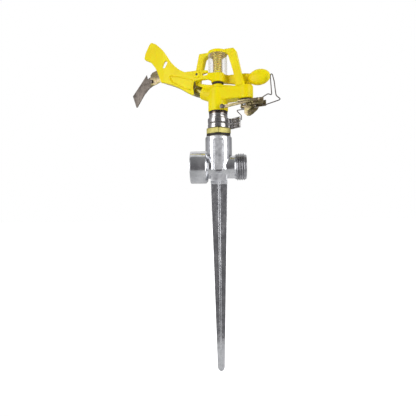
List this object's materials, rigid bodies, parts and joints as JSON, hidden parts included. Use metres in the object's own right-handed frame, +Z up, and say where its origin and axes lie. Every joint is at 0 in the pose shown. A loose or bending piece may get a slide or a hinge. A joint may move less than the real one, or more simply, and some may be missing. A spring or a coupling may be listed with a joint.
{
  "type": "impact sprinkler",
  "caption": "Part-circle impact sprinkler head with sprung arm, trip collars and deflector flap, on a plated flow-through tee with a ground spike.",
  "frame": {"origin": "on the spike's axis at the ground line, which is the tee's underside", "axes": "+Z up along the spike and the head's spin axis, +X out of the male hose port, -Y out of the barrel's plain pad"},
  "size_m": [0.1587, 0.0757, 0.3457],
  "materials": {
    "plated_zinc": "polished plated casting",
    "brass": "turned",
    "stainless": "bright rolled",
    "spring_steel": "drawn wire",
    "dark_steel": "oxidised",
    "passivated_steel": "yellow passivated zinc",
    "yellow_plastic": "moulded",
    "clear_plastic": "clear moulded",
    "white_plastic": "moulded",
    "black_rubber": "moulded"
  },
  "bodies": {
    "base": {"spike": "plated_zinc", "tee": "plated_zinc", "hose_washer": "black_rubber", "nipple_gasket": "black_rubber", "bearing_nipple": "brass", "seal_washer": "black_rubber", "thrust_washer": "white_plastic", "bearing_spring": "spring_steel", "bearing_sleeve": "stainless", "friction_washer": "black_rubber"},
    "lower_collar": {"lower_trip_collar": "stainless"},
    "upper_collar": {"upper_trip_collar": "stainless"},
    "head": {"rotor_tube": "brass", "sprinkler_body": "yellow_plastic", "nozzle": "brass", "pivot_pin": "stainless", "lower_pivot_washer": "black_rubber", "spring_guard": "clear_plastic", "arm_spring": "spring_steel", "spring_post": "yellow_plastic", "deflector_bracket": "passivated_steel", "bracket_screws": "stainless", "flap_rivet": "dark_steel", "lug_washer": "black_rubber", "lug_screw": "stainless", "trip_bracket": "passivated_steel", "stay_screw": "dark_steel", "lever_pin": "stainless", "finger_pin": "passivated_steel", "toggle_spring": "passivated_steel"},
    "arm": {"impact_arm": "yellow_plastic", "arm_bush": "white_plastic", "upper_pivot_washer": "white_plastic", "arm_stop_screw": "dark_steel"},
    "flap": {"deflector_flap": "dark_steel"},
    "lever": {"trip_lever": "passivated_steel", "trip_wire": "dark_steel", "lever_rivet": "passivated_steel"},
    "finger": {"finger_bush": "passivated_steel", "reversing_finger": "dark_steel"}
  },
  "joints": [
    {"name": "head_spin", "type": "hinge", "parent": "base", "child": "head", "pos_m": [0, 0, 0.06], "axis": [0, 0, 1], "continuous": true},
    {"name": "lower_collar_turn", "type": "hinge", "parent": "base", "child": "lower_collar", "pos_m": [0, 0, 0.0554], "axis": [0, 0, 1], "continuous": true},
    {"name": "upper_collar_turn", "type": "hinge", "parent": "base", "child": "upper_collar", "pos_m": [0, 0, 0.0609], "axis": [0, 0, 1], "continuous": true},
    {"name": "arm_swing", "type": "hinge", "parent": "head", "child": "arm", "pos_m": [0, 0, 0.1034], "axis": [0, 0, 1], "range_deg": [0, 90], "stiffness_Nm_per_rad": 0.012, "springref_deg": -34.38},
    {"name": "flap_tilt", "type": "hinge", "parent": "head", "child": "flap", "pos_m": [-0.07455, 0.04047, 0.1168], "axis": [0.3502, 0.9367, 0], "range_deg": [0, 70]},
    {"name": "trip_toggle", "type": "hinge", "parent": "head", "child": "lever", "pos_m": [0.0296, -0.01107, 0.0725], "axis": [0.9367, -0.3502, 0], "range_deg": [0, 24]},
    {"name": "finger_flip", "type": "hinge", "parent": "head", "child": "finger", "pos_m": [0.04215, -0.01576, 0.0758], "axis": [0.3502, 0.9367, 0], "range_deg": [0, 20]}
  ],
  "couplings": [
    {"joint": "finger_flip", "follows": "trip_toggle", "ratio": 0.83}
  ]
}
